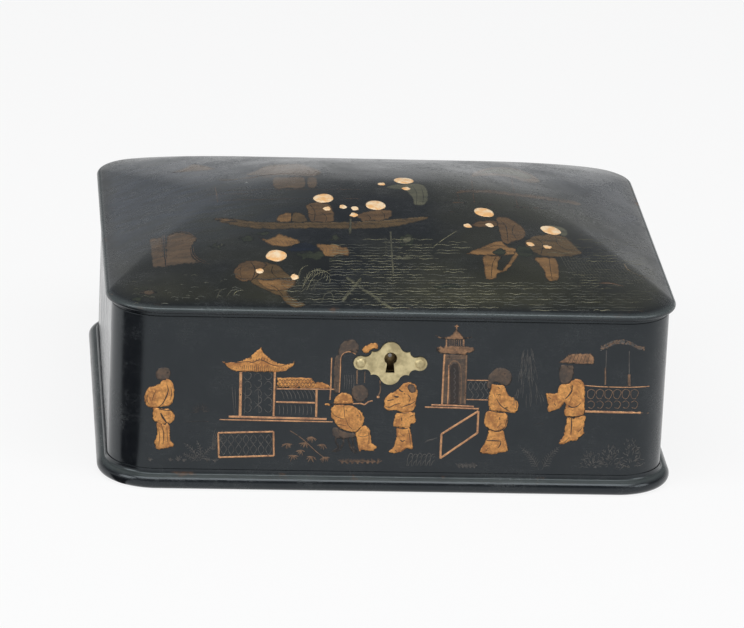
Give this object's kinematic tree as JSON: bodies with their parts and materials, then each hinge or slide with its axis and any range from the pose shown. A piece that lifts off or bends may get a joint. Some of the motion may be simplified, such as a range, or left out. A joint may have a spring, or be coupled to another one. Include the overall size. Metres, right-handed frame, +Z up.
{
  "type": "deed box",
  "caption": "Low rectangular box with rounded corners, a moulded plinth, a domed lid on two stop hinges, and a lock behind a pierced escutcheon.",
  "frame": {"origin": "middle of the foot of the plinth, on the surface that the box stands on", "axes": "+X to the right along the box's width as seen from the front, +Y from the front with the keyhole to the hinged back, +Z up"},
  "size_m": [0.3346, 0.2886, 0.143],
  "materials": {
    "black_lacquer": "aged black lacquer, satin to gloss",
    "bare_wood": "bare softwood, sawn and darkened",
    "gilt": "worn gold on lacquer",
    "brass": "dull pale brass with lighter edges",
    "lock_brass": "aged brass",
    "lock_steel": "dull steel",
    "lining": "faded crimson lining paper",
    "inlay": "polished bone"
  },
  "bodies": {
    "case": {"base_board": "bare_wood", "front_board": "black_lacquer", "back_board": "black_lacquer", "left_board": "black_lacquer", "right_board": "black_lacquer", "corner_posts": "black_lacquer", "plinth_front": "black_lacquer", "plinth_right": "black_lacquer", "plinth_back": "black_lacquer", "plinth_left": "black_lacquer", "floor_lining": "lining", "wall_lining": "lining", "escutcheon": "brass", "escutcheon_pins": "brass", "lock_plate": "lock_brass", "lock_case": "lock_brass", "bolt_spring": "lock_steel", "key_pin": "lock_steel", "lock_screws": "lock_steel", "left_lower_leaf": "lock_brass", "right_lower_leaf": "lock_brass", "left_hinge_pin": "lock_steel", "right_hinge_pin": "lock_steel", "lower_leaf_screws": "lock_steel"},
    "lid": {"left_upper_leaf": "lock_brass", "right_upper_leaf": "lock_brass", "upper_leaf_screws": "lock_steel", "lid_front_rail": "black_lacquer", "lid_right_rail": "black_lacquer", "lid_back_rail": "black_lacquer", "lid_left_rail": "black_lacquer", "lid_dome": "black_lacquer", "lid_lining": "lining", "face_inlays": "inlay", "hand_inlays": "inlay", "link_plate": "lock_brass", "link_plate_screws": "lock_steel"},
    "bolt": {"lock_bolt": "lock_steel"}
  },
  "joints": [
    {"name": "lid_hinge", "type": "hinge", "parent": "case", "child": "lid", "pos_m": [0, 0.14085, 0.10415], "axis": [-1, 0, 0], "range_deg": [0, 95]},
    {"name": "bolt_slide", "type": "slide", "parent": "case", "child": "bolt", "axis": [1, 0, 0], "range_m": [0, 0.0036]}
  ]
}
